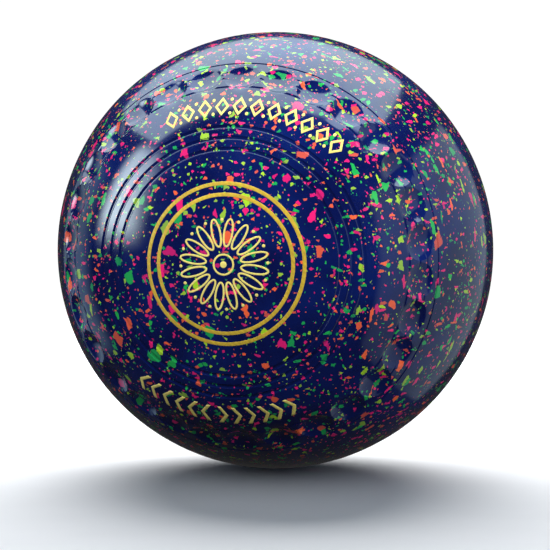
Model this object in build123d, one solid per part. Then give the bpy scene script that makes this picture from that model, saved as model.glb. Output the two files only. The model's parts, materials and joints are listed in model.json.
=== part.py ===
from build123d import *
import math
import os

# Lawn bowl: one solid resin moulding, turned, gripped with finger dimples and
# engraved on both sides, with enamel paint filled into the engraving.
# Units are millimetres. The bowl's axle line is Y, the bias side faces -Y and
# the bowl rests on its running sole at -Z. The origin is the bounding-box centre.

os.makedirs("parts", exist_ok=True)

# ---- overall size -------------------------------------------------------
RADIUS = 62.0            # running line radius, a 124 mm bowl
CROWN_Y = 0.4            # running line sits this far towards the plain side
BIAS_HALF = 56.6         # running line to the bias side's pole
PLAIN_HALF = 55.8        # running line to the plain side's pole
DOME_R = 78.4            # radius of both flat side domes
SHOULDER_R = 35.0        # radius of the shoulder between dome and sole
BIAS_SOLE_R = 58.73      # radius of the sole arc on the bias side
PLAIN_SOLE_R = 58.0      # the plain side is slimmer, which gives the bias

# ---- turned grooves -----------------------------------------------------
# Each size is a width and a depth.
WIDE_GROOVES = (31.0, 34.0, 37.0)
WIDE_GROOVE = (1.4, 0.4)
EDGE_GROOVES = (47.6, 53.8)
EDGE_GROOVE = (0.64, 0.28)
FINE_GROOVES = (49.9, 51.5)
FINE_GROOVE = (0.46, 0.2)

# ---- finger dimples -----------------------------------------------------
DIMPLE_COUNT = 30
DIMPLE_RHO = 50.2
DIMPLE_WIDTH = 10.7      # across the cutter where it meets a flat face
DIMPLE_DEPTH = 1.5
DIMPLE_PHASE = 6.27      # degrees from +X to the first dimple

# ---- painted engraving --------------------------------------------------
BIAS_RINGS = (18.9, 21.9)
PLAIN_RINGS = (25.0, 28.0)
RING_WIDTH = 1.05
ENGRAVE_DEPTH = 0.42     # along the axle line
PAINT_SET = 0.08         # paint face below the resin face
DESIGN_TURN = -8.2       # the design's up direction from +Z, about the axle

PETAL_COUNT = 16
PETAL_IN = 4.5
PETAL_OUT = 12.9
PETAL_HALF = 1.4
PETAL_STROKE = 0.52
HUB_R = 3.0
DOT_R = 0.44

UPPER_RHO = (40.0, 42.5, 45.0)
UPPER_COUNT = 11
UPPER_SPAN = 73.5
UPPER_CENTRE = 90.0
UPPER_STROKE = 0.62

LOWER_RHO = (40.2, 42.6, 45.0)
LOWER_COUNT = 12
LOWER_SPAN = 63.5
LOWER_CENTRE = 270.0
LOWER_STROKE = 0.85


def side_arcs(half, sole_r):
    """Points where the three tangent arcs of one side meet, as (rho, height)."""
    dome_c = (0.0, half - DOME_R)
    sole_c = (RADIUS - sole_r, 0.0)
    da = DOME_R - SHOULDER_R
    db = sole_r - SHOULDER_R
    dx = sole_c[0] - dome_c[0]
    dy = sole_c[1] - dome_c[1]
    gap = math.hypot(dx, dy)
    along = (da * da - db * db + gap * gap) / (2.0 * gap)
    across = math.sqrt(da * da - along * along)
    ux = dx / gap
    uy = dy / gap
    cx = dome_c[0] + along * ux - across * uy
    cy = dome_c[1] + along * uy + across * ux
    if cx < 0:
        cx = dome_c[0] + along * ux + across * uy
        cy = dome_c[1] + along * uy - across * ux
    upper = point_on(dome_c, (cx, cy), DOME_R)
    lower = point_on(sole_c, (cx, cy), sole_r)
    return dome_c, sole_c, (cx, cy), upper, lower


def point_on(centre, towards, radius):
    """The point at a radius from a centre, in the direction of another point."""
    dx = towards[0] - centre[0]
    dy = towards[1] - centre[1]
    size = math.hypot(dx, dy)
    return (centre[0] + dx / size * radius, centre[1] + dy / size * radius)


def surface_at(rho, half, sole_r):
    """Height over the running line and the slope angle of a side at a radius."""
    dome_c, sole_c, mid_c, upper, lower = side_arcs(half, sole_r)
    if rho <= upper[0]:
        centre = dome_c
        radius = DOME_R
    elif rho <= lower[0]:
        centre = mid_c
        radius = SHOULDER_R
    else:
        centre = sole_c
        radius = sole_r
    run = rho - centre[0]
    height = centre[1] + math.sqrt(radius * radius - run * run)
    return height, math.asin(run / radius)


def arc_between(centre, radius, start, end, sign):
    """One circular arc of a side's outline, placed on the real Y axis."""
    a0 = math.atan2(start[1] - centre[1], start[0] - centre[0])
    a1 = math.atan2(end[1] - centre[1], end[0] - centre[0])
    am = (a0 + a1) / 2.0
    mid = (centre[0] + radius * math.cos(am), centre[1] + radius * math.sin(am))
    pts = [(p[0], CROWN_Y + sign * p[1]) for p in (start, mid, end)]
    return ThreePointArc(*pts)


def side_outline(half, sole_r, sign):
    """The three arcs of one side, from the pole to the running line."""
    dome_c, sole_c, mid_c, upper, lower = side_arcs(half, sole_r)
    dome = arc_between(dome_c, DOME_R, (0.0, half), upper, sign)
    shoulder = arc_between(mid_c, SHOULDER_R, upper, lower, sign)
    sole = arc_between(sole_c, sole_r, lower, (RADIUS, 0.0), sign)
    return [dome, shoulder, sole]


def turned_blank():
    """The bowl as it leaves the lathe, before grooves, grips and engraving."""
    edges = side_outline(BIAS_HALF, BIAS_SOLE_R, -1)
    edges += side_outline(PLAIN_HALF, PLAIN_SOLE_R, 1)
    edges.append(Line((0, CROWN_Y - BIAS_HALF), (0, CROWN_Y + PLAIN_HALF)))
    face = make_face(edges)
    return revolve(face, Axis.Y, 360)


def groove_cutter(rho, size, half, sole_r, sign):
    """A round-bottomed turned groove of a width and depth."""
    width, depth = size
    cutter_r = (width ** 2 / 4 + depth ** 2) / (2 * depth)
    height, slope = surface_at(rho, half, sole_r)
    lift = cutter_r - depth
    x = rho + lift * math.sin(slope)
    y = CROWN_Y + sign * (height + lift * math.cos(slope))
    return revolve(Pos(x, y) * Circle(cutter_r), Axis.Y, 360)


def dimple_cutter(angle, half, sole_r, sign):
    """A ball that leaves one spherical finger dimple."""
    ball_r = (DIMPLE_WIDTH ** 2 / 4 + DIMPLE_DEPTH ** 2) / (2 * DIMPLE_DEPTH)
    height, slope = surface_at(DIMPLE_RHO, half, sole_r)
    lift = ball_r - DIMPLE_DEPTH
    rho = DIMPLE_RHO + lift * math.sin(slope)
    y = CROWN_Y + sign * (height + lift * math.cos(slope))
    t = math.radians(angle)
    return Pos(rho * math.cos(t), y, rho * math.sin(t)) * Sphere(ball_r)


def polar(rho, angle):
    """A flat point from a radius and an angle in degrees."""
    t = math.radians(angle)
    return (rho * math.cos(t), rho * math.sin(t))


def lens(r_in, r_out, half_width):
    """A pointed petal between two radii along +X."""
    mid = (r_in + r_out) / 2
    top = ThreePointArc((r_in, 0), (mid, half_width), (r_out, 0))
    low = ThreePointArc((r_out, 0), (mid, -half_width), (r_in, 0))
    return make_face([top, low])


def plain_ring(rho):
    """A flat ring round the bowl's pole."""
    outer = Circle(rho + RING_WIDTH / 2)
    return [(outer - Circle(rho - RING_WIDTH / 2), [0.0])]


def rosette_petals():
    """Outlined petals with a dot between each pair of tips."""
    inset = PETAL_STROKE * 2.1
    outline = lens(PETAL_IN, PETAL_OUT, PETAL_HALF)
    hollow = lens(PETAL_IN + inset, PETAL_OUT - inset, PETAL_HALF - PETAL_STROKE)
    step = 360.0 / PETAL_COUNT
    turns = [i * step for i in range(PETAL_COUNT)]
    dot = Pos(*polar(PETAL_OUT - 0.7, step / 2)) * Circle(DOT_R)
    return [(outline - hollow, turns), (dot, turns)]


def rosette_hub():
    """A ring and a centre dot."""
    return [(Circle(HUB_R) - Circle(HUB_R - PETAL_STROKE), [0.0]), (Circle(0.9), [0.0])]


def lozenge(half_angle, r_in, r_mid, r_out):
    """A four-sided diamond laid along a circle."""
    pts = [polar(r_in, 0), polar(r_mid, -half_angle)]
    pts += [polar(r_out, 0), polar(r_mid, half_angle)]
    return make_face(Polyline(*pts, close=True))


def band_angles(centre, span, count):
    """Evenly spaced places across a band, in degrees."""
    pitch = span / count
    first = centre - span / 2 + pitch / 2
    return [first + i * pitch for i in range(count)]


def upper_band():
    """Outlined diamonds with two dots in each gap."""
    r_in, r_mid, r_out = UPPER_RHO
    pitch = UPPER_SPAN / UPPER_COUNT
    half = pitch * 0.41
    s = UPPER_STROKE
    thin = math.degrees(s * 1.25 / r_mid)
    outer = lozenge(half, r_in, r_mid, r_out)
    inner = lozenge(half - thin, r_in + s * 1.6, r_mid, r_out - s * 1.6)
    places = band_angles(UPPER_CENTRE, UPPER_SPAN, UPPER_COUNT)
    gaps = [at + pitch / 2 for at in places[:-1]]
    high_dot = Pos(r_out - 0.65, 0) * Circle(DOT_R)
    low_dot = Pos(r_in + 0.65, 0) * Circle(DOT_R)
    return [(outer - inner, places), (high_dot, gaps), (low_dot, gaps)]


def chevron(way):
    """One V-shaped stroke pointing along the circle, clockwise or back."""
    r_in, r_mid, r_out = LOWER_RHO
    reach = 1.25
    thick = math.degrees(LOWER_STROKE * 1.25 / r_mid)
    pts = [polar(r_in, -reach), polar(r_mid, reach), polar(r_out, -reach)]
    pts += [polar(r_out, -reach + thick), polar(r_mid, reach + thick)]
    pts.append(polar(r_in, -reach + thick))
    if way < 0:
        pts = [(p[0], -p[1]) for p in reversed(pts)]
    return make_face(Polyline(*pts, close=True))


def lower_band():
    """Chevrons that point away from the middle of the band."""
    places = band_angles(LOWER_CENTRE, LOWER_SPAN, LOWER_COUNT)
    half = LOWER_COUNT // 2
    return [(chevron(-1), places[:half]), (chevron(1), places[half:])]


def prism(shape, sign):
    """A flat shape turned to the bowl's angle and stood up along the axle line."""
    side = Plane(origin=(0, 0, 0), x_dir=(-sign, 0, 0), z_dir=(0, sign, 0))
    turned = side * (Rot(0, 0, DESIGN_TURN) * shape)
    return Pos(0, sign * 30, 0) * extrude(turned, amount=30)


def engraving(design, blank, sign):
    """The pockets a design leaves in the resin and the paint that fills them."""
    core = Pos(0, -sign * ENGRAVE_DEPTH, 0) * blank
    face = Pos(0, -sign * PAINT_SET, 0) * blank
    pockets = []
    paint = []
    for shape, turns in design:
        bar = prism(shape, sign)
        pocket = bar - core
        fill = (bar & face) - core
        for turn in turns:
            pockets.append(Rot(0, sign * turn, 0) * pocket)
            paint.append(Rot(0, sign * turn, 0) * fill)
    return pockets, paint


def solids_of(items):
    """Every solid in a list of shapes."""
    found = []
    for item in items:
        found += list(item.solids())
    return found


def painted_side(blank, sign, rings):
    """All pockets of one side and its named paint fills."""
    cutters = []
    paints = {}
    designs = {
        "inner_ring": plain_ring(rings[0]),
        "outer_ring": plain_ring(rings[1]),
        "rosette_petals": rosette_petals(),
        "rosette_hub": rosette_hub(),
        "upper_band": upper_band(),
        "lower_band": lower_band(),
    }
    for name, design in designs.items():
        pockets, fills = engraving(design, blank, sign)
        cutters.append(pockets)
        paints[name] = fills
    return cutters, paints


def turned_cutters(half, sole_r, sign):
    """The grooves and the finger dimples of one side."""
    grooves = []
    kinds = (
        (WIDE_GROOVES, WIDE_GROOVE),
        (EDGE_GROOVES, EDGE_GROOVE),
        (FINE_GROOVES, FINE_GROOVE),
    )
    for places, size in kinds:
        for rho in places:
            grooves.append(groove_cutter(rho, size, half, sole_r, sign))
    step = 360.0 / DIMPLE_COUNT
    dimples = []
    for i in range(DIMPLE_COUNT):
        angle = DIMPLE_PHASE + i * step
        dimples.append(dimple_cutter(angle, half, sole_r, sign))
    return [grooves, dimples]


def build():
    """Cut the blank and write every piece to its own file."""
    blank = turned_blank()
    body = blank
    sides = (
        ("bias", BIAS_HALF, BIAS_SOLE_R, -1, BIAS_RINGS),
        ("plain", PLAIN_HALF, PLAIN_SOLE_R, 1, PLAIN_RINGS),
    )
    pieces = {}
    for label, half, sole_r, sign, rings in sides:
        cutters, paints = painted_side(blank, sign, rings)
        for group in cutters:
            body = body - group
        for group in turned_cutters(half, sole_r, sign):
            body = body - group
        for name, shapes in paints.items():
            pieces[f"{label}_{name}_paint"] = solids_of(shapes)
    pieces["bowl_body"] = solids_of([body])
    for name, solids in pieces.items():
        shape = solids[0] if len(solids) == 1 else Compound(children=solids)
        export_step(shape, f"parts/{name}.step")
        print(name, len(solids), round(sum(s.volume for s in solids), 3))


build()
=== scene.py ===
import json
import logging
import math
from dataclasses import dataclass, field
from enum import Enum
from typing import Any, Sequence

import bpy
import numpy as np
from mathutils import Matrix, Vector

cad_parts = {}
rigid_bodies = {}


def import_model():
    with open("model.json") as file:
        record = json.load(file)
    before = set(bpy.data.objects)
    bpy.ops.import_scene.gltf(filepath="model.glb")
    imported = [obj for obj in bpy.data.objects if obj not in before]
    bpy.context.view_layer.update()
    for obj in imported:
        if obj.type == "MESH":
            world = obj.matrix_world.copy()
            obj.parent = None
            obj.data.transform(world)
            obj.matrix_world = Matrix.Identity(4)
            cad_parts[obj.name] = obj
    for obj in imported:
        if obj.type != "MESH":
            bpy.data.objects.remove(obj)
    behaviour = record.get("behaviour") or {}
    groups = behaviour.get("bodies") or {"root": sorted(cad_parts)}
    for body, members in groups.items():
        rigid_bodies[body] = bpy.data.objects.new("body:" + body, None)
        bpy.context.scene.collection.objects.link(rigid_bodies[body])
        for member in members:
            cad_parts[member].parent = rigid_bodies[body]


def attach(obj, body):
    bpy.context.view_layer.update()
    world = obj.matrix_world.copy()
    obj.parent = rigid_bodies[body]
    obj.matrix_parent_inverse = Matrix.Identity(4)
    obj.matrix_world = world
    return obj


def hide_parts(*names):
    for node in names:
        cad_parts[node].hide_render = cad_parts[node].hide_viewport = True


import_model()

logging.basicConfig(level=logging.INFO, format="%(message)s")
LOG = logging.getLogger("lawn_bowl")

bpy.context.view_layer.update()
MM = 0.001
TAU = 2.0 * math.pi


class Side(Enum):
    """The two faces of the bowl, by the sign of their direction along Y."""

    BIAS = -1
    PLAIN = 1


# ---------------------------------------------------------------- shader maths


class Maths:
    """A shader socket, or a number, that Python operators act on.

    Each operator adds one Math node to the tree and returns its output.
    """

    def __init__(self, tree: "Tree", value: Any) -> None:
        """Keep the tree and the socket or number."""
        self.tree = tree
        self.value = value

    def _op(self, operation: str, *values: Any) -> "Maths":
        """Add one Math node.

        Args:
            operation: The node's operation.
            values: Sockets, numbers or Maths values for its inputs.

        Returns:
            The node's output.
        """
        raw = [v.value if isinstance(v, Maths) else v for v in values]
        links = dict(enumerate(raw))
        node = self.tree.add("ShaderNodeMath", {"operation": operation}, links)
        return Maths(self.tree, node.outputs[0])

    def __add__(self, other: Any) -> "Maths":
        """Sum."""
        return self._op("ADD", self, other)

    __radd__ = __add__

    def __mul__(self, other: Any) -> "Maths":
        """Product."""
        return self._op("MULTIPLY", self, other)

    __rmul__ = __mul__

    def __sub__(self, other: Any) -> "Maths":
        """Difference."""
        return self._op("SUBTRACT", self, other)

    def __rsub__(self, other: Any) -> "Maths":
        """Difference, reflected."""
        return self._op("SUBTRACT", other, self)

    def __truediv__(self, other: Any) -> "Maths":
        """Quotient."""
        return self._op("DIVIDE", self, other)

    def __rtruediv__(self, other: Any) -> "Maths":
        """Quotient, reflected."""
        return self._op("DIVIDE", other, self)

    def __gt__(self, other: Any) -> "Maths":
        """One where this is greater, else nought."""
        return self._op("GREATER_THAN", self, other)

    def __lt__(self, other: Any) -> "Maths":
        """One where this is less, else nought."""
        return self._op("LESS_THAN", self, other)

    def larger(self, other: Any) -> "Maths":
        """The larger of two values."""
        return self._op("MAXIMUM", self, other)

    def fade(self, low: float, high: float) -> "Maths":
        """A smooth step from nought at low to one at high."""
        node = self.tree.add(
            "ShaderNodeMapRange",
            {"interpolation_type": "SMOOTHSTEP"},
            {0: self.value, 1: low, 2: high, 3: 0.0, 4: 1.0},
        )
        return Maths(self.tree, node.outputs[0])


class Tree:
    """One material's nodes."""

    def __init__(self, name: str) -> None:
        """Start an empty material with an output and a Principled shader."""
        self.material = bpy.data.materials.new(name)
        self.material.use_nodes = True
        self.nodes = self.material.node_tree.nodes
        self.links = self.material.node_tree.links
        self.nodes.clear()
        self.shader = self.add("ShaderNodeBsdfPrincipled")
        out = self.add("ShaderNodeOutputMaterial")
        self.links.new(self.shader.outputs[0], out.inputs[0])
        self.coords = self.add("ShaderNodeTexCoord").outputs["Object"]

    def add(
        self,
        kind: str,
        settings: dict[str, Any] | None = None,
        inputs: dict[Any, Any] | None = None,
    ) -> Any:
        """Add any node.

        Args:
            kind: The node's type.
            settings: Its properties, set before the inputs. "stops" is a
                colour ramp's list of (place, colour) and "ramp" its
                interpolation.
            inputs: Values or sockets, by input name or number.

        Returns:
            The node.
        """
        node = self.nodes.new(kind)
        for key, value in (settings or {}).items():
            if key == "stops":
                self._stops(node.color_ramp, value)
            elif key == "ramp":
                node.color_ramp.interpolation = value
            else:
                setattr(node, key, value)
        for key, value in (inputs or {}).items():
            value = value.value if isinstance(value, Maths) else value
            if isinstance(value, bpy.types.NodeSocket):
                self.links.new(value, node.inputs[key])
            else:
                node.inputs[key].default_value = value
        return node

    @staticmethod
    def _stops(ramp: Any, stops: Sequence[tuple[float, tuple[float, ...]]]) -> None:
        """Set a colour ramp's stops."""
        while len(ramp.elements) < len(stops):
            ramp.elements.new(0.5)
        for element, (place, colour) in zip(ramp.elements, stops):
            element.position = place
            element.color = (*colour, 1.0)

    def value(self, socket: Any) -> Maths:
        """Wrap a socket for shader maths."""
        return Maths(self, socket)

    def noise(self, scale: float, detail: float = 3.0, vector: Any = None) -> Any:
        """A noise texture on Object coordinates."""
        where = self.coords if vector is None else vector
        links = {"Vector": where, "Scale": scale, "Detail": detail}
        return self.add("ShaderNodeTexNoise", None, links)

    def mix(self, factor: Any, low: Any, high: Any, blend: str = "MIX") -> Any:
        """A colour mix; low and high are colours or sockets."""
        settings = {"data_type": "RGBA", "blend_type": blend}
        low = (*low, 1.0) if isinstance(low, tuple) else low
        high = (*high, 1.0) if isinstance(high, tuple) else high
        return self.add("ShaderNodeMix", settings, {0: factor, 6: low, 7: high}).outputs[2]

    def bump(self, height: Any, distance: float, strength: float = 1.0) -> None:
        """Feed a height through a Bump node to the shader's Normal."""
        links = {"Height": height, "Distance": distance, "Strength": strength}
        node = self.add("ShaderNodeBump", None, links)
        self.links.new(node.outputs[0], self.shader.inputs["Normal"])

    def feed(self, **inputs: Any) -> None:
        """Set or link the shader's own inputs, underscores for spaces."""
        for key, value in inputs.items():
            socket = self.shader.inputs[key.replace("_", " ")]
            value = value.value if isinstance(value, Maths) else value
            if isinstance(value, bpy.types.NodeSocket):
                self.links.new(value, socket)
            else:
                socket.default_value = value


# -------------------------------------------------------------------- finishes


@dataclass(frozen=True)
class ChipGrade:
    """One grade of coloured resin chips.

    Attributes:
        cells: Cells per metre, so 1 / cells is about a chip's size.
        share: The part of the cells that hold a chip.
        gap: How far a chip stays inside its cell, in cell sizes.
        stretch: Squeeze of the three axes, for slivers.
        turn: Turn of the stretched pattern, in radians.
        jagged: How far the outline wanders, in metres.
    """

    cells: float
    share: float
    gap: float
    stretch: tuple[float, float, float]
    turn: tuple[float, float, float]
    jagged: float


@dataclass(frozen=True)
class SpeckledResin:
    """Polished navy resin with moulded-in angular chips of four colours."""

    navy: tuple[float, float, float] = (0.0013, 0.0095, 0.098)
    deep: tuple[float, float, float] = (0.0008, 0.0038, 0.056)
    pink: tuple[float, float, float] = (0.86, 0.012, 0.165)
    orange: tuple[float, float, float] = (0.88, 0.125, 0.035)
    green: tuple[float, float, float] = (0.014, 0.42, 0.070)
    lime: tuple[float, float, float] = (0.38, 0.66, 0.020)
    grades: tuple[ChipGrade, ...] = (
        ChipGrade(370.0, 0.026, 0.05, (1.0, 1.15, 0.9), (0.3, 0.1, 0.5), 0.0011),
        ChipGrade(500.0, 0.056, 0.04, (1.0, 1.7, 0.62), (0.5, 0.9, 0.2), 0.0009),
        ChipGrade(720.0, 0.066, 0.04, (1.0, 0.62, 1.5), (1.1, 0.4, 0.8), 0.0006),
        ChipGrade(1300.0, 0.052, 0.03, (1.0, 1.0, 1.0), (0.2, 1.3, 0.4), 0.0003),
        ChipGrade(2500.0, 0.030, 0.03, (1.0, 1.4, 0.8), (0.7, 0.3, 0.9), 0.0002),
    )

    def _chips(self, tree: Tree, grade: ChipGrade) -> tuple[Maths, Any]:
        """Chips of one grade: a chosen few cells of a wandering Voronoi pattern.

        Args:
            tree: The material.
            grade: The grade's sizes.

        Returns:
            The mask of the chips and their colour.
        """
        wander = tree.noise(grade.cells * 1.9, 2.0)
        centred = tree.add(
            "ShaderNodeVectorMath",
            {"operation": "SUBTRACT"},
            {0: wander.outputs["Color"], 1: (0.5, 0.5, 0.5)},
        )
        moved = tree.add(
            "ShaderNodeVectorMath",
            {"operation": "MULTIPLY_ADD"},
            {0: centred.outputs[0], 1: (grade.jagged,) * 3, 2: tree.coords},
        )
        where = tree.add(
            "ShaderNodeMapping",
            None,
            {"Vector": moved.outputs[0], "Rotation": grade.turn, "Scale": grade.stretch},
        ).outputs[0]
        links = {"Vector": where, "Scale": grade.cells}
        cell = tree.add("ShaderNodeTexVoronoi", {"feature": "F1"}, links)
        edge = tree.add("ShaderNodeTexVoronoi", {"feature": "DISTANCE_TO_EDGE"}, links)
        pick = tree.add("ShaderNodeSeparateColor", None, {0: cell.outputs["Color"]})
        chosen = tree.value(pick.outputs[0]) < grade.share
        inside = tree.value(edge.outputs["Distance"]).fade(grade.gap, grade.gap + 0.03)
        stops = [(0.0, self.pink), (0.30, self.orange), (0.55, self.green), (0.82, self.lime)]
        hue = tree.add(
            "ShaderNodeValToRGB", {"ramp": "CONSTANT", "stops": stops}, {0: pick.outputs[1]}
        ).outputs[0]
        depth = tree.value(pick.outputs[2]) * 0.45
        sunk = tree.mix(depth, hue, self.navy)
        return chosen * inside, sunk

    def build(self) -> bpy.types.Material:
        """Make the material.

        Returns:
            The material: a cloudy navy, four grades of chips, a faint cast
            of the resin over the chips and fine polish marks.
        """
        tree = Tree("speckled_resin")
        cloud = tree.value(tree.noise(55.0, 4.0).outputs[0]).fade(0.35, 0.68)
        colour = tree.mix(cloud, self.deep, self.navy)
        cover = tree.value(0.0)
        for grade in reversed(self.grades):
            mask, hue = self._chips(tree, grade)
            colour = tree.mix(mask, colour, hue)
            cover = cover.larger(mask)
        grain = tree.value(tree.noise(2600.0, 3.0).outputs[0])
        marks = tree.value(tree.noise(420.0, 5.0).outputs[0])
        scuffs = tree.value(tree.noise(90.0, 6.0).outputs[0]).fade(0.52, 0.72)
        tree.feed(
            Base_Color=colour,
            Roughness=0.10 + grain * 0.05 + scuffs * 0.05 + cover * 0.05,
            Coat_Weight=0.55 - scuffs * 0.2,
            Coat_Roughness=0.04,
            Coat_IOR=1.5,
            IOR=1.56,
        )
        tree.bump(marks * 0.5 + grain * 0.12 + cover * 0.10, 0.00003, 0.5)
        return tree.material


@dataclass(frozen=True)
class Enamel:
    """Paint filled into an engraving, with the fine hatch of the cutter.

    Attributes:
        name: The material's name.
        full: The paint's colour where it lies thick.
        thin: The colour where it is rubbed thin.
        hatch: Strength of the diagonal tool marks.
    """

    name: str
    full: tuple[float, float, float]
    thin: tuple[float, float, float]
    hatch: float

    def build(self) -> bpy.types.Material:
        """Make the material.

        Returns:
            The material: paint that varies in thickness, diagonal hatch and
            a fine uneven surface.
        """
        tree = Tree(self.name)
        where = tree.add(
            "ShaderNodeMapping", None, {"Vector": tree.coords, "Rotation": (0.0, 0.75, 0.0)}
        ).outputs[0]
        wave = tree.add(
            "ShaderNodeTexWave",
            {"wave_type": "BANDS", "bands_direction": "X"},
            {"Vector": where, "Scale": 260.0, "Distortion": 2.5, "Detail": 2.0, "Detail Scale": 3.0},
        )
        lines = tree.value(wave.outputs[1])
        body = tree.value(tree.noise(900.0, 4.0).outputs[0]).fade(0.3, 0.75)
        patch = tree.value(tree.noise(190.0, 3.0).outputs[0]).fade(0.35, 0.7)
        rub = (1.0 - lines) * self.hatch + (1.0 - body) * 0.3 + (1.0 - patch) * 0.25
        colour = tree.mix(rub, self.full, self.thin)
        tree.feed(
            Base_Color=colour,
            Roughness=0.34 + rub * 0.25,
            Metallic=0.0,
            Coat_Weight=0.15,
            Coat_Roughness=0.15,
        )
        tree.bump(lines * 0.5 + body * 0.5, 0.00004, 0.6)
        return tree.material


@dataclass(frozen=True)
class Finishes:
    """The object's three materials."""

    resin: bpy.types.Material
    ring: bpy.types.Material
    pale: bpy.types.Material

    @classmethod
    def build(cls) -> "Finishes":
        """Make all three."""
        ring = Enamel("ring_gold_enamel", (0.66, 0.46, 0.036), (0.36, 0.23, 0.020), 0.24)
        pale = Enamel("pale_gold_enamel", (0.88, 0.76, 0.20), (0.60, 0.47, 0.10), 0.16)
        return cls(SpeckledResin().build(), ring.build(), pale.build())


# --------------------------------------------------------------------- outline


@dataclass
class Outline:
    """One side's turned outline: a dome, a shoulder and a sole arc, tangent.

    Sizes are millimetres. rho is the distance from the axle line, and the
    height is measured from the running line towards the side's pole.
    """

    side: Side
    half: float
    sole_r: float
    radius: float = 62.0
    dome_r: float = 78.4
    shoulder_r: float = 35.0
    crown_y: float = 0.4

    def __post_init__(self) -> None:
        """Find the arcs' centres and the angles at which they meet.

        The shoulder's centre is where a circle of dome_r - shoulder_r about
        the dome's centre meets one of sole_r - shoulder_r about the sole's.
        """
        dome = np.array([0.0, self.half - self.dome_r])
        sole = np.array([self.radius - self.sole_r, 0.0])
        reach_a = self.dome_r - self.shoulder_r
        reach_b = self.sole_r - self.shoulder_r
        way = sole - dome
        gap = float(np.hypot(*way))
        unit = way / gap
        along = (reach_a**2 - reach_b**2 + gap**2) / (2.0 * gap)
        across = math.sqrt(reach_a**2 - along**2)
        options = [dome + along * unit + s * across * np.array([-unit[1], unit[0]]) for s in (1, -1)]
        mid = max(options, key=lambda p: p[0])
        self.centres = np.array([dome, mid, sole])
        self.radii = np.array([self.dome_r, self.shoulder_r, self.sole_r])
        first = mid - dome
        second = mid - sole
        self.slopes = np.array(
            [0.0, math.atan2(first[0], first[1]), math.atan2(second[0], second[1]), math.pi / 2]
        )
        lengths = self.radii * np.diff(self.slopes)
        self.starts = np.concatenate([[0.0], np.cumsum(lengths)])

    def at(self, s: np.ndarray) -> tuple[np.ndarray, np.ndarray, np.ndarray]:
        """Points along the outline.

        On each arc the slope grows evenly with distance, and the point is
        the arc's centre plus its radius times (sine, cosine) of the slope.

        Args:
            s: Distances along the outline from the pole.

        Returns:
            rho, height and slope at each distance.
        """
        arc = np.clip(np.searchsorted(self.starts, s, side="right") - 1, 0, 2)
        slope = self.slopes[arc] + (s - self.starts[arc]) / self.radii[arc]
        rho = self.centres[arc, 0] + self.radii[arc] * np.sin(slope)
        height = self.centres[arc, 1] + self.radii[arc] * np.cos(slope)
        return rho, height, slope

    def distance(self, rho: float | np.ndarray) -> np.ndarray:
        """Distance along the outline at which it reaches a radius.

        The sine of the slope is (rho - centre) / radius on the arc whose
        span of rho holds it.
        """
        rho = np.asarray(rho, dtype=float)
        joins = self.at(self.starts)[0]
        arc = np.clip(np.searchsorted(joins, rho, side="right") - 1, 0, 2)
        ratio = (rho - self.centres[arc, 0]) / self.radii[arc]
        slope = np.arcsin(np.clip(ratio, -1.0, 1.0))
        return self.starts[arc] + (slope - self.slopes[arc]) * self.radii[arc]

    def place(self, s: np.ndarray, angle: np.ndarray, lift: np.ndarray) -> np.ndarray:
        """Points in space, in metres.

        Args:
            s: Distances along the outline.
            angle: Turns about the axle line, from +X towards +Z.
            lift: Heights over the turned surface, square to it.

        Returns:
            An array of the inputs' shape with a last axis of x, y, z.
        """
        rho, height, slope = self.at(s)
        rho = rho + lift * np.sin(slope)
        height = height + lift * np.cos(slope)
        sign = self.side.value
        x = rho * np.cos(angle)
        z = rho * np.sin(angle)
        y = self.crown_y + sign * height
        return np.stack(np.broadcast_arrays(x, y, z), axis=-1) * MM


# --------------------------------------------------------------------- meshing


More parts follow.
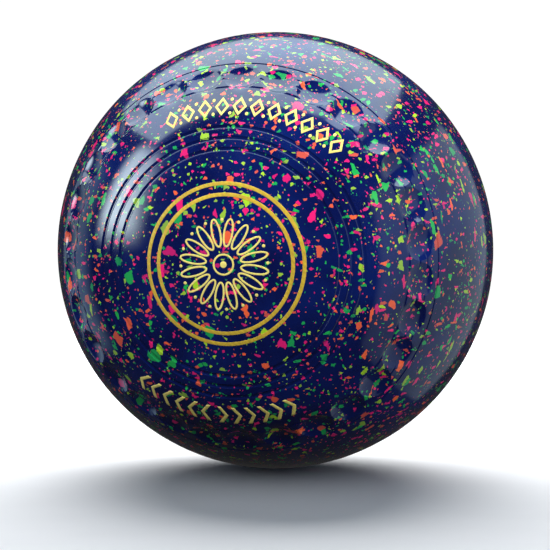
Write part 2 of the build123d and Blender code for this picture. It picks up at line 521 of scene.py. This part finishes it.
class Surface:
    """Grids of points gathered into one mesh."""

    def __init__(self, name: str) -> None:
        """Start empty."""
        self.name = name
        self.points: list[np.ndarray] = []
        self.quads: list[np.ndarray] = []
        self.tris: list[np.ndarray] = []
        self.count = 0

    def grid(self, points: np.ndarray, flip: bool, closed_rows: bool = False) -> np.ndarray:
        """Add a grid whose columns close on themselves.

        Each cell (i, j) is the quad of rows i, i + 1 and columns j, j + 1,
        the last column meeting the first.

        Args:
            points: Rows by columns by 3.
            flip: Turn the faces over.
            closed_rows: Join the last row to the first as well.

        Returns:
            The vertex numbers, rows by columns.
        """
        rows, cols = points.shape[:2]
        ids = self.count + np.arange(rows * cols).reshape(rows, cols)
        self.points.append(points.reshape(-1, 3))
        self.count += rows * cols
        low = ids if closed_rows else ids[:-1]
        high = np.roll(ids, -1, axis=0) if closed_rows else ids[1:]
        quad = np.stack([low, np.roll(low, -1, axis=1), np.roll(high, -1, axis=1), high], axis=-1)
        quad = quad.reshape(-1, 4)
        self.quads.append(quad[:, ::-1] if flip else quad)
        return ids

    def cap(self, ring: np.ndarray, point: np.ndarray, flip: bool) -> None:
        """Close a ring of vertices with a fan to one point."""
        self.points.append(np.asarray(point, dtype=float).reshape(1, 3))
        tip = np.full(len(ring), self.count)
        self.count += 1
        fan = np.stack([ring, np.roll(ring, -1), tip], axis=-1)
        self.tris.append(fan[:, ::-1] if flip else fan)

    def bridge(self, low: np.ndarray, high: np.ndarray, flip: bool) -> None:
        """Join two rings of the same number of vertices."""
        quad = np.stack([low, np.roll(low, -1), np.roll(high, -1), high], axis=-1)
        self.quads.append(quad[:, ::-1] if flip else quad)

    def make(
        self, material: bpy.types.Material, crisp: np.ndarray | None = None
    ) -> bpy.types.Object:
        """Build the object.

        Args:
            material: Its only material.
            crisp: A flag per vertex; an edge between two flagged vertices
                of one flag number is left sharp.

        Returns:
            The object, linked to the scene, at the origin.
        """
        points = np.concatenate(self.points)
        quads = np.concatenate(self.quads) if self.quads else np.zeros((0, 4), int)
        tris = np.concatenate(self.tris) if self.tris else np.zeros((0, 3), int)
        loops = np.concatenate([quads.ravel(), tris.ravel()]).astype(np.int32)
        sizes = np.concatenate([np.full(len(quads), 4), np.full(len(tris), 3)]).astype(np.int32)
        starts = np.concatenate([[0], np.cumsum(sizes)[:-1]]).astype(np.int32)
        mesh = bpy.data.meshes.new(self.name)
        mesh.vertices.add(len(points))
        mesh.vertices.foreach_set("co", points.astype(np.float32).ravel())
        mesh.loops.add(len(loops))
        mesh.loops.foreach_set("vertex_index", loops)
        mesh.polygons.add(len(sizes))
        mesh.polygons.foreach_set("loop_start", starts)
        mesh.update(calc_edges=True)
        mesh.validate()
        mesh.shade_smooth()
        if crisp is not None:
            ends = np.zeros(len(mesh.edges) * 2, dtype=np.int32)
            mesh.edges.foreach_get("vertices", ends)
            ends = ends.reshape(-1, 2)
            same = (crisp[ends[:, 0]] > 0) & (crisp[ends[:, 0]] == crisp[ends[:, 1]])
            mark = mesh.attributes.new("sharp_edge", "BOOLEAN", "EDGE")
            mark.data.foreach_set("value", same)
        mesh.materials.append(material)
        made = bpy.data.objects.new(self.name, mesh)
        bpy.context.scene.collection.objects.link(made)
        return made


# ------------------------------------------------------------------- the body


@dataclass(frozen=True)
class Groove:
    """A turned groove: its radius, width and depth, and its rows of points."""

    rho: float
    width: float
    depth: float
    rows: int

    def section(self) -> tuple[np.ndarray, np.ndarray]:
        """Offsets and depths across the groove.

        The section is an arc of radius (width^2 / 4 + depth^2) / (2 depth),
        so an offset is the radius times the sine of an even turn, and the
        depth its cosine less the arc centre's height over the surface.
        """
        r = (self.width**2 / 4 + self.depth**2) / (2 * self.depth)
        half = math.asin(min(1.0, self.width / 2 / r))
        turn = np.linspace(-half, half, self.rows)
        return r * np.sin(turn), np.maximum(r * np.cos(turn) - (r - self.depth), 0.0)


@dataclass
class BowlBody:
    """The resin moulding: outline, grooves, ring pockets and finger dimples."""

    resin: bpy.types.Material
    sides: tuple[Outline, Outline]
    rings: dict[Side, tuple[float, float]]
    ring_width: float = 1.05
    ring_depth: float = 0.10
    ring_wall: float = 0.01
    grooves: tuple[Groove, ...] = (
        Groove(31.0, 1.4, 0.4, 6),
        Groove(34.0, 1.4, 0.4, 6),
        Groove(37.0, 1.4, 0.4, 6),
        Groove(47.6, 0.64, 0.28, 5),
        Groove(49.9, 0.46, 0.2, 4),
        Groove(51.5, 0.46, 0.2, 4),
        Groove(53.8, 0.64, 0.28, 5),
    )
    dimples: int = 30
    dimple_rho: float = 50.2
    dimple_width: float = 10.7
    dimple_depth: float = 1.5
    phase: float = 6.27
    inner_columns: int = 12
    outer_columns: int = 3
    floor_half: float = 2.8
    dimple_band: tuple[float, float] = (47.0, 54.6)
    band_rows: int = 28
    dome_step: float = 1.9
    sole_rows: int = 13
    least_gap: float = 0.16

    def _row_marks(self, outline: Outline) -> tuple[np.ndarray, np.ndarray, np.ndarray]:
        """Distances, groove depths and sharp marks of one side's rows."""
        rows: list[tuple[float, float, int]] = []
        for groove in self.grooves:
            middle = float(outline.distance(groove.rho))
            offsets, depths = groove.section()
            ends = np.zeros(groove.rows, dtype=int)
            ends[0] = ends[-1] = 1
            rows += list(zip(middle + offsets, depths, ends))
        for rho in self.rings[outline.side]:
            middle = float(outline.distance(rho))
            edge = self.ring_width / 2
            foot = edge - self.ring_wall
            for offset, depth in ((-edge, 0.0), (-foot, 1.0), (foot, 1.0), (edge, 0.0)):
                rows.append((middle + offset, depth * self.ring_depth, 1))
        end = float(outline.starts[-1])
        band = outline.distance(np.array(self.dimple_band))
        plain = np.concatenate(
            [
                np.array([0.5, 1.5, 3.0, 5.0]),
                np.arange(7.5, band[0] - 1.0, self.dome_step),
                np.linspace(band[0], band[1], self.band_rows),
                np.linspace(band[1], end, self.sole_rows)[1:-1],
            ]
        )
        taken = np.array([r[0] for r in rows])
        for s in plain:
            if np.min(np.abs(taken - s)) > self.least_gap and not self._in_groove(outline, s):
                rows.append((float(s), 0.0, 0))
        rows.sort()
        table = np.array(rows)
        return table[:, 0], table[:, 1], table[:, 2].astype(int)

    def _in_groove(self, outline: Outline, s: float) -> bool:
        """Whether a distance falls inside a groove or a ring pocket."""
        cuts = [(g.rho, g.width / 2) for g in self.grooves]
        cuts += [(g, self.ring_width / 2) for g in self.rings[outline.side]]
        return any(abs(s - float(outline.distance(g))) < r for g, r in cuts)

    def _columns(self, outline: Outline, s: np.ndarray) -> tuple[np.ndarray, np.ndarray]:
        """Angles of every grid point, with columns drawn to the dimple rims.

        In each dimple's sector the inner columns fill the angle that the
        rim spans at that row and the outer ones the rest. The half angle is
        the arccosine of (rho^2 + c^2 + dy^2 - ball^2) / (2 rho c), where c
        and dy place the ball's centre.

        Returns:
            The angles, rows by columns, and the rim's half angle per row,
            nought where a row misses the dimple.
        """
        ball, centre = self._ball(outline)
        rho, height, _ = outline.at(s)
        cosine = (rho**2 + centre[0] ** 2 + (height - centre[1]) ** 2 - ball**2) / (
            2.0 * np.maximum(rho, 1e-6) * centre[0]
        )
        hit = np.abs(cosine) < 1.0
        rim = np.where(hit, np.degrees(np.arccos(np.clip(cosine, -1.0, 1.0))), 0.0)
        sector = 360.0 / self.dimples
        even = sector / 2 * self.inner_columns / (self.inner_columns + self.outer_columns)
        low, high = s[hit].min(), s[hit].max()
        away = np.clip(np.maximum(low - s, s - high) / 4.0, 0.0, 1.0)
        ease = away * away * (3.0 - 2.0 * away)
        rest = self.floor_half + (even - self.floor_half) * ease
        inner = np.maximum(rim, rest)
        k = np.arange(self.inner_columns + 1) / self.inner_columns * 2.0 - 1.0
        outer = np.arange(1, self.outer_columns) / self.outer_columns
        left = inner[:, None] * k[None, :]
        right = inner[:, None] + (sector - 2.0 * inner[:, None]) * outer[None, :]
        cell = np.concatenate([left, right], axis=1)
        places = self.phase + np.arange(self.dimples) * sector
        angles = (places[None, :, None] + cell[:, None, :]).reshape(len(s), -1)
        return np.radians(angles), rim

    def _ball(self, outline: Outline) -> tuple[float, np.ndarray]:
        """Radius and centre (rho, height) of the ball that cuts a dimple."""
        w, d = self.dimple_width, self.dimple_depth
        ball = (w * w / 4.0 + d * d) / (2.0 * d)
        rho, height, slope = outline.at(outline.distance(np.array([self.dimple_rho])))
        lift = ball - d
        across, up = lift * math.sin(slope[0]), lift * math.cos(slope[0])
        centre = np.array([rho[0] + across, height[0] + up])
        return ball, centre

    def _dimple_cut(self, outline: Outline, s: np.ndarray, angles: np.ndarray) -> np.ndarray:
        """How deep the balls cut at each grid point, square to the surface.

        From a surface point p with outward normal n, the ball of radius b
        about c is left after b' + sqrt(b'^2 + b^2 - |p - c|^2), where b' is
        (p - c) . n, and nothing is cut outside the ball.
        """
        ball, centre = self._ball(outline)
        rho, height, slope = (a[:, None] for a in outline.at(s))
        sector = TAU / self.dimples
        turn = angles - math.radians(self.phase)
        turn = (turn + sector / 2) % sector - sector / 2
        px = rho * np.cos(turn) - centre[0]
        pz = rho * np.sin(turn)
        py = height - centre[1]
        reach = px**2 + pz**2 + py**2
        lean = (px * np.cos(turn) + pz * np.sin(turn)) * np.sin(slope) + py * np.cos(slope)
        inside = reach < ball**2
        cut = lean + np.sqrt(np.maximum(lean**2 + ball**2 - reach, 0.0))
        return np.where(inside, np.maximum(cut, 0.0), 0.0)

    def build(self) -> bpy.types.Object:
        """Make the body as one closed mesh, pole to pole.

        Returns:
            The object, which replaces the CAD body.
        """
        surface = Surface("bowl_body_moulding")
        flags: list[np.ndarray] = []
        edges = []
        for outline in self.sides:
            s, depth, mark = self._row_marks(outline)
            angles, rim = self._columns(outline, s)
            cut = self._dimple_cut(outline, s, angles)
            lift = -np.maximum(np.broadcast_to(depth[:, None], cut.shape), cut)
            points = outline.place(s[:, None], angles, lift)
            flip = outline.side is Side.BIAS
            ids = surface.grid(points, flip)
            crisp = np.where((mark[:, None] > 0) & (cut < 0.02), 1 + np.arange(len(s))[:, None], 0)
            crisp = np.broadcast_to(crisp, ids.shape).copy()
            self._mark_rims(crisp, rim)
            flags.append(crisp.ravel())
            pole = outline.place(np.array(0.0), np.array(0.0), np.array(0.0))
            surface.cap(ids[0], pole, not flip)
            flags.append(np.zeros(1, dtype=int))
            edges.append(ids[-1])
        surface.bridge(edges[0], edges[1], True)
        made = surface.make(self.resin, np.concatenate(flags))
        LOG.info("%s: %d faces", made.name, len(made.data.polygons))
        return made

    def _mark_rims(self, crisp: np.ndarray, rim: np.ndarray) -> None:
        """Flag the vertices of the columns that lie on a dimple's rim."""
        width = self.inner_columns + self.outer_columns
        on_rim = np.nonzero(rim > self.floor_half)[0]
        for place in (0, self.inner_columns):
            for sector in range(self.dimples):
                column = sector * width + place
                crisp[on_rim, column] = 10000 + column


# ------------------------------------------------------------------ the paint


@dataclass
class PaintFill:
    """Enamel laid in an engraving, as beads that follow the bowl's surface.

    Each bead has a flat crown with rounded edges and a foot sunk below the
    resin, and flat design sizes are millimetres round the pole.
    """

    outline: Outline
    turn: float = -8.2
    crown: float = 0.05
    foot: float = -0.25

    def _map(self, flat: np.ndarray, lift: np.ndarray) -> np.ndarray:
        """Stand flat design points on the bowl.

        A flat point's distance from the pole is its rho, and its direction
        its angle, mirrored on the plain side so that it reads the same. The
        mirror also keeps a grid's faces the same way out on both sides.
        """
        rho = np.hypot(flat[..., 0], flat[..., 1])
        angle = np.arctan2(flat[..., 1], flat[..., 0]) + math.radians(self.turn)
        if self.outline.side is Side.PLAIN:
            angle = math.pi - angle
        return self.outline.place(self.outline.distance(rho), angle, lift)

    def bead(self, surface: Surface, path: np.ndarray, width: float) -> None:
        """Carry a bead's section along a closed flat path.

        The section runs from the outer foot over a crown that falls with
        the fourth power of the distance from the middle to the inner foot.

        Args:
            surface: Where the bead goes.
            path: Points by 2, anticlockwise, not repeated at the end.
            width: The bead's width.
        """
        before = path - np.roll(path, 1, axis=0)
        after = np.roll(path, -1, axis=0) - path
        before /= np.linalg.norm(before, axis=1, keepdims=True)
        after /= np.linalg.norm(after, axis=1, keepdims=True)
        side_a = np.stack([before[:, 1], -before[:, 0]], axis=1)
        side_b = np.stack([after[:, 1], -after[:, 0]], axis=1)
        mitre = side_a + side_b
        size = np.sum(mitre * side_a, axis=1, keepdims=True)
        mitre = mitre / np.maximum(size, 0.55)
        across = np.array([1.0, 1.0, 0.82, 0.45, 0.0, -0.45, -0.82, -1.0, -1.0]) * width / 2
        shape = 1.0 - np.abs(across / (width / 2)) ** 4
        lift = self.crown * shape
        lift[0] = lift[-1] = self.foot
        flat = path[None, :, :] + mitre[None, :, :] * across[:, None, None]
        points = self._map(flat, lift[:, None] * np.ones(len(path))[None, :])
        surface.grid(points, False, closed_rows=True)

    def blob(self, surface: Surface, loop: np.ndarray, centre: np.ndarray) -> None:
        """A filled shape: rings that shrink from its edge to its middle.

        Args:
            surface: Where the shape goes.
            loop: Its edge, points by 2, anticlockwise.
            centre: A point inside it.
        """
        shrink = np.array([1.0, 1.0, 0.93, 0.7, 0.35])
        lift = self.crown * (1.0 - shrink**4)
        lift[0] = self.foot
        flat = centre + (loop - centre)[None, :, :] * shrink[:, None, None]
        points = self._map(flat, lift[:, None] * np.ones(len(loop))[None, :])
        ids = surface.grid(points, False)
        top = self._map(centre, np.array(self.crown))
        surface.cap(ids[-1], top, False)
        low = self._map(centre, np.array(self.foot))
        surface.cap(ids[0], low, True)


def circle(radius: float, count: int, centre: tuple[float, float] = (0.0, 0.0)) -> np.ndarray:
    """Points of a circle, anticlockwise: the centre plus the radius at even turns."""
    t = np.arange(count) * TAU / count
    return np.stack([centre[0] + radius * np.cos(t), centre[1] + radius * np.sin(t)], axis=1)


def spun(flat: np.ndarray, degrees: float) -> np.ndarray:
    """Flat points turned about the pole."""
    t = math.radians(degrees)
    spin = np.array([[math.cos(t), math.sin(t)], [-math.sin(t), math.cos(t)]])
    return flat @ spin


def even_places(centre: float, span: float, count: int) -> np.ndarray:
    """Middles of even slots across a band, in degrees."""
    pitch = span / count
    return centre - span / 2 + pitch * (np.arange(count) + 0.5)


def densified(corners: np.ndarray, per_side: int) -> np.ndarray:
    """A closed polygon with extra points spread along each side."""
    t = (np.arange(per_side) / per_side)[None, :, None]
    following = np.roll(corners, -1, axis=0)
    return (corners[:, None, :] * (1.0 - t) + following[:, None, :] * t).reshape(-1, 2)


@dataclass
class SideDecoration:
    """The rings, rosette and bands painted on one side."""

    outline: Outline
    finishes: Finishes
    rings: tuple[float, float]
    ring_width: float = 1.05
    petals: int = 16
    petal_in: float = 4.5
    petal_out: float = 12.9
    petal_half: float = 1.4
    petal_stroke: float = 0.52
    hub_r: float = 3.0
    dot_r: float = 0.44
    upper_rho: tuple[float, float, float] = (40.0, 42.5, 45.0)
    upper_count: int = 11
    upper_span: float = 73.5
    upper_stroke: float = 0.62
    lower_rho: tuple[float, float, float] = (40.2, 42.6, 45.0)
    lower_count: int = 12
    lower_span: float = 63.5
    lower_stroke: float = 0.85
    made: list[bpy.types.Object] = field(default_factory=list)

    def _finish(self, surface: Surface, node: str, material: bpy.types.Material) -> None:
        """Make one fill's object and let it stand for its CAD node."""
        label = self.outline.side.name.lower()
        piece = surface.make(material)
        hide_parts(f"{label}_{node}")
        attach(piece, "root")
        self.made.append(piece)
        LOG.info("%s: %d faces", piece.name, len(piece.data.polygons))

    def _surface(self, name: str) -> Surface:
        """An empty surface named for this side."""
        return Surface(f"{self.outline.side.name.lower()}_{name}")

    def ring(self, name: str, rho: float) -> None:
        """One painted ring: a bead of the ring's width round the pole."""
        surface = self._surface(f"{name}_enamel")
        fill = PaintFill(self.outline, crown=0.02)
        fill.bead(surface, circle(rho, 360), self.ring_width - 0.03)
        self._finish(surface, f"{name}_paint", self.finishes.ring)

    def rosette(self) -> None:
        """Outlined pointed petals with dots, and a hub ring with a dot.

        A petal's edge bows from tip to tip by the sine of an even turn, its
        stroke's middle half a stroke inside the outline.
        """
        fill = PaintFill(self.outline)
        surface = self._surface("rosette_petals_enamel")
        t = np.linspace(0.0, math.pi, 19)[:-1]
        inset = self.petal_stroke * 0.9
        low, high = self.petal_in + inset, self.petal_out - inset
        middle, reach = (low + high) / 2, (high - low) / 2
        bow = self.petal_half - self.petal_stroke / 2
        upper = np.stack([middle + reach * np.cos(t), bow * np.sin(t)], axis=1)
        lower = np.stack([middle - reach * np.cos(t), -bow * np.sin(t)], axis=1)
        petal = np.concatenate([upper, lower])
        step = 360.0 / self.petals
        dot_at = spun(np.array([[self.petal_out - 0.7, 0.0]]), step / 2)[0]
        dot = circle(self.dot_r, 14, tuple(dot_at))
        for i in range(self.petals):
            fill.bead(surface, spun(petal, i * step), self.petal_stroke)
            centre = spun(dot_at[None, :], i * step)[0]
            fill.blob(surface, spun(dot, i * step), centre)
        self._finish(surface, "rosette_petals_paint", self.finishes.pale)
        hub = self._surface("rosette_hub_enamel")
        fill.bead(hub, circle(self.hub_r - self.petal_stroke / 2, 64), self.petal_stroke)
        fill.blob(hub, circle(0.9, 28), np.zeros(2))
        self._finish(hub, "rosette_hub_paint", self.finishes.pale)

    def upper_band(self) -> None:
        """Outlined diamonds with a pair of dots in each gap."""
        fill = PaintFill(self.outline)
        surface = self._surface("upper_band_enamel")
        r_in, r_mid, r_out = self.upper_rho
        pitch = self.upper_span / self.upper_count
        stroke = self.upper_stroke
        half = math.radians(pitch * 0.41) * r_mid - stroke * 0.62
        rise = stroke * 0.8
        corners = np.array([[r_in + rise, 0.0], [r_mid, -half], [r_out - rise, 0.0], [r_mid, half]])
        diamond = densified(corners, 6)
        places = even_places(90.0, self.upper_span, self.upper_count)
        for at in places:
            fill.bead(surface, spun(diamond, at), stroke)
        for gap in places[:-1] + pitch / 2:
            for rho in (r_out - 0.65, r_in + 0.65):
                centre = spun(np.array([[rho, 0.0]]), gap)[0]
                fill.blob(surface, circle(self.dot_r, 14, tuple(centre)), centre)
        self._finish(surface, "upper_band_paint", self.finishes.pale)

    def lower_band(self) -> None:
        """Chevrons that point away from the middle of the band.

        Each is a filled band: the edge is two bent lines a stroke apart,
        laid as a grid between them.
        """
        surface = self._surface("lower_band_enamel")
        places = even_places(270.0, self.lower_span, self.lower_count)
        for i, at in enumerate(places):
            way = -1.0 if i < self.lower_count / 2 else 1.0
            self._chevron(surface, float(at), way)
        self._finish(surface, "lower_band_paint", self.finishes.pale)

    def _chevron(self, surface: Surface, at: float, way: float) -> None:
        """One bent stroke, as a closed tube of sections from tail to tail."""
        fill = PaintFill(self.outline)
        r_in, r_mid, r_out = self.lower_rho
        reach = 1.25
        thick = math.degrees(self.lower_stroke * 1.25 / r_mid)
        t = np.linspace(-1.0, 1.0, 13)
        rho = np.where(t < 0, r_mid + (r_mid - r_in) * t, r_mid + (r_out - r_mid) * t)
        nose = reach - 2.0 * reach * np.abs(t)
        across = np.array([0.0, 0.0, 0.12, 0.5, 0.88, 1.0, 1.0, 0.5])
        lift = np.array([fill.foot, 0.0, 0.8, 1.0, 0.8, 0.0, fill.foot, fill.foot])
        lift[1:6] *= fill.crown
        angle = np.radians(at + way * (nose[:, None] + thick * across[None, :]))
        radius = rho[:, None] * np.ones(len(across))[None, :]
        flat = np.stack([radius * np.cos(angle), radius * np.sin(angle)], axis=-1)
        points = fill._map(flat, lift[None, :] * np.ones(len(t))[:, None])
        flip = way > 0
        ids = surface.grid(points, flip)
        surface.cap(ids[0], points[0].mean(axis=0), not flip)
        surface.cap(ids[-1], points[-1].mean(axis=0), flip)

    def build(self) -> None:
        """Make every fill of this side."""
        self.ring("inner_ring", self.rings[0])
        self.ring("outer_ring", self.rings[1])
        self.rosette()
        self.upper_band()
        self.lower_band()


# ----------------------------------------------------------------- the studio


def way_to(azimuth: float, elevation: float) -> Vector:
    """The direction from the bowl at an azimuth and elevation in degrees."""
    a, e = math.radians(azimuth), math.radians(elevation)
    return Vector((math.sin(a) * math.cos(e), -math.cos(a) * math.cos(e), math.sin(e)))


def studio_place(azimuth: float, right: float, away: float, up: float) -> Vector:
    """A point given to the right of, away from and above the camera's line."""
    a = math.radians(azimuth)
    across = Vector((math.cos(a), math.sin(a), 0.0))
    ahead = Vector((-math.sin(a), math.cos(a), 0.0))
    return across * right + ahead * away + Vector((0.0, 0.0, up))


@dataclass(frozen=True)
class Panel:
    """A glowing panel that the resin mirrors, with soft edges.

    Attributes:
        name: Its name.
        corner: The low corner (right, away, up) in metres.
        edge_u: The first edge, as (right, away, up).
        edge_v: The second edge.
        glow: Brightness at the start and the end of the second edge.
        feather: Soft part of the sides along the first and second edge.
        tint: The colour of its glow.
    """

    name: str
    corner: tuple[float, float, float]
    edge_u: tuple[float, float, float]
    edge_v: tuple[float, float, float]
    glow: tuple[float, float]
    feather: tuple[float, float]
    tint: tuple[float, float, float] = (0.76, 0.93, 1.0)

    def build(self, azimuth: float) -> bpy.types.Object:
        """Make the panel, seen only in reflections.

        Its glow is a straight blend between the two ends, times a smooth
        step in from each edge, read from the panel's own UV map.
        """
        base, u, v = (studio_place(azimuth, *p) for p in (self.corner, self.edge_u, self.edge_v))
        mesh = bpy.data.meshes.new(self.name)
        mesh.from_pydata([base, base + u, base + u + v, base + v], [], [(0, 1, 2, 3)])
        layer = mesh.uv_layers.new(name="panel")
        layer.data.foreach_set("uv", np.array([0, 0, 1, 0, 1, 1, 0, 1], dtype=np.float32))
        tree = Tree(self.name)
        uv = tree.add("ShaderNodeUVMap", {"uv_map": "panel"}).outputs[0]
        split = tree.add("ShaderNodeSeparateXYZ", None, {0: uv})
        x, y = tree.value(split.outputs[0]), tree.value(split.outputs[1])
        fu, fv = self.feather
        soft = x.fade(0.0, fu) * (1.0 - x).fade(0.0, fu) * y.fade(0.0, fv) * (1.0 - y).fade(0.0, fv)
        strength = soft * (y * (self.glow[1] - self.glow[0]) + self.glow[0])
        tree.feed(Base_Color=(0, 0, 0, 1), Emission_Color=(*self.tint, 1.0))
        tree.feed(Emission_Strength=strength, Specular_IOR_Level=0.0)
        mesh.materials.append(tree.material)
        made = bpy.data.objects.new(self.name, mesh)
        bpy.context.scene.collection.objects.link(made)
        made.visible_camera = False
        made.visible_diffuse = False
        made.visible_shadow = False
        return made


@dataclass(frozen=True)
class Lamp:
    """A soft lamp that isn't mirrored and can be kept off the floor."""

    name: str
    place: tuple[float, float, float]
    size: float
    power: float
    bowl_only: bool

    def build(self, azimuth: float) -> None:
        """Place the lamp, facing the bowl, and keep it off the floor if asked."""
        light = bpy.data.lights.new(self.name, "AREA")
        light.shape = "DISK"
        light.size = self.size
        light.energy = self.power
        lamp = bpy.data.objects.new(self.name, light)
        lamp.location = studio_place(azimuth, *self.place)
        lamp.rotation_euler = lamp.location.to_track_quat("Z", "Y").to_euler()
        lamp.visible_glossy = False
        if self.bowl_only:
            lit = bpy.data.collections.new(f"{self.name}_lights")
            for piece in bpy.context.scene.objects:
                if piece.type == "MESH" and not piece.name.startswith("studio"):
                    lit.objects.link(piece)
            lamp.light_linking.receiver_collection = lit
        bpy.context.scene.collection.objects.link(lamp)


@dataclass
class Studio:
    """A pale floor, lamps, mirrored panels and the camera."""

    azimuth: float = 14.4
    elevation: float = 4.1
    distance: float = 1.116
    lens: float = 256.9
    rise: float = -0.0449
    floor_z: float = -0.062
    floor_reach: float = 6.0
    floor_steps: int = 64
    white_from: float = 0.30
    white_by: float = 0.60
    white: float = 1.05
    mirrored: float = 0.03
    surround: float = 0.34
    panels: tuple[Panel, ...] = (
        Panel("overhead_panel", (-0.76, -0.17, 0.6), (1.28, 0, 0), (0, 1.38, 0),
              (3.5, 0.9), (0.02, 0.03)),
        Panel("left_panel", (-0.9, -0.46, -0.02), (0, 0.62, 0), (0, 0, 0.75),
              (11.0, 6.0), (0.40, 0.25)),
        Panel("right_panel", (0.7, -0.85, -0.85), (0, 1.95, 0), (0, 0, 1.35),
              (0.26, 0.62), (0.12, 0.04)),
        Panel("left_wall", (-1.0, 0.1, -0.75), (0, 1.6, 0), (0, 0, 1.3),
              (0.5, 0.55), (0.3, 0.2), (0.55, 0.8, 1.0)),
    )
    lamps: tuple[Lamp, ...] = (
        Lamp("key_lamp", (-0.5, -0.9, 1.1), 0.9, 20.0, True),
        Lamp("back_lamp", (-0.02, 1.0, 0.74), 1.15, 36.0, False),
        Lamp("top_lamp", (0.1, -0.1, 1.3), 1.0, 18.0, True),
        Lamp("fill_lamp", (0.9, -0.8, 0.3), 0.9, 8.0, True),
    )

    def floor(self) -> None:
        """A wide pale floor that turns to plain white in the distance.

        It shows itself to the camera only: other rays meet a darker one.
        """
        surface = Surface("studio_floor")
        ring = circle(self.floor_reach, self.floor_steps)
        points = np.concatenate([ring, np.full((self.floor_steps, 1), self.floor_z)], axis=1)
        ids = surface.grid(np.stack([points * [0.02, 0.02, 1.0], points]), True)
        surface.cap(ids[0], np.array([0.0, 0.0, self.floor_z]), False)
        tree = Tree("pale_floor")
        mottle = tree.value(tree.noise(30.0, 4.0).outputs[0])
        paint = tree.mix(mottle, (0.84, 0.85, 0.86), (0.90, 0.91, 0.92))
        tree.feed(Base_Color=paint, Roughness=0.9)
        tree.feed(Specular_IOR_Level=0.1)
        far = tree.add("ShaderNodeVectorMath", {"operation": "LENGTH"}, {0: tree.coords})
        away = tree.value(far.outputs["Value"]).fade(self.white_from, self.white_by)
        glow = tree.add("ShaderNodeEmission", None, {0: (1.0, 1.0, 1.0, 1.0), 1: self.white})
        near = tree.shader.outputs[0]
        pale = tree.add("ShaderNodeMixShader", None, {0: away, 1: near, 2: glow.outputs[0]})
        dim = tree.add("ShaderNodeBsdfDiffuse", None, {0: (0.30, 0.31, 0.33, 1.0)})
        seen = tree.add("ShaderNodeLightPath").outputs["Is Camera Ray"]
        ends = {0: seen, 1: dim.outputs[0], 2: pale.outputs[0]}
        both = tree.add("ShaderNodeMixShader", None, ends)
        out = next(n for n in tree.nodes if n.type == "OUTPUT_MATERIAL")
        tree.links.new(both.outputs[0], out.inputs[0])
        made = surface.make(tree.material)
        made.visible_glossy = False

    def camera(self) -> None:
        """A long lens level with the bowl, turned a little to its right."""
        back = way_to(self.azimuth, self.elevation)
        data = bpy.data.cameras.new("camera")
        data.lens = self.lens
        data.shift_y = self.rise
        data.clip_start = 0.05
        data.clip_end = 50.0
        made = bpy.data.objects.new("camera", data)
        made.location = back * self.distance
        made.rotation_euler = back.to_track_quat("Z", "Y").to_euler()
        bpy.context.scene.collection.objects.link(made)
        bpy.context.scene.camera = made

    def world(self) -> None:
        """A white surround to the camera, soft and dim to everything else."""
        world = bpy.data.worlds.new("studio_surround")
        world.use_nodes = True
        nodes, links = world.node_tree.nodes, world.node_tree.links
        path = nodes.new("ShaderNodeLightPath")
        out = nodes["World Output"]
        last = nodes["Background"]
        last.inputs[0].default_value = (0.80, 0.88, 1.0, 1.0)
        last.inputs[1].default_value = self.surround
        for ray, level in (("Is Glossy Ray", self.mirrored), ("Is Camera Ray", self.white)):
            shade = nodes.new("ShaderNodeBackground")
            shade.inputs[0].default_value = (1.0, 1.0, 1.0, 1.0)
            shade.inputs[1].default_value = level
            mix = nodes.new("ShaderNodeMixShader")
            links.new(path.outputs[ray], mix.inputs[0])
            links.new(last.outputs[0], mix.inputs[1])
            links.new(shade.outputs[0], mix.inputs[2])
            last = mix
        links.new(last.outputs[0], out.inputs[0])
        scene = bpy.context.scene
        scene.world = world
        scene.view_settings.view_transform = "Standard"

    def build(self) -> None:
        """Set up everything round the bowl."""
        self.floor()
        self.world()
        for piece in (*self.panels, *self.lamps):
            piece.build(self.azimuth)
        self.camera()


def main() -> None:
    """Build the bowl in order: finishes, body, both decorated sides, studio."""
    finishes = Finishes.build()
    bias = Outline(Side.BIAS, 56.6, 58.73)
    plain = Outline(Side.PLAIN, 55.8, 58.0)
    rings = {Side.BIAS: (18.9, 21.9), Side.PLAIN: (25.0, 28.0)}
    body = BowlBody(finishes.resin, (bias, plain), rings).build()
    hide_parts("bowl_body")
    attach(body, "root")
    for outline in (bias, plain):
        SideDecoration(outline, finishes, rings[outline.side]).build()
    Studio().build()


if __name__ == "__main__":
    main()
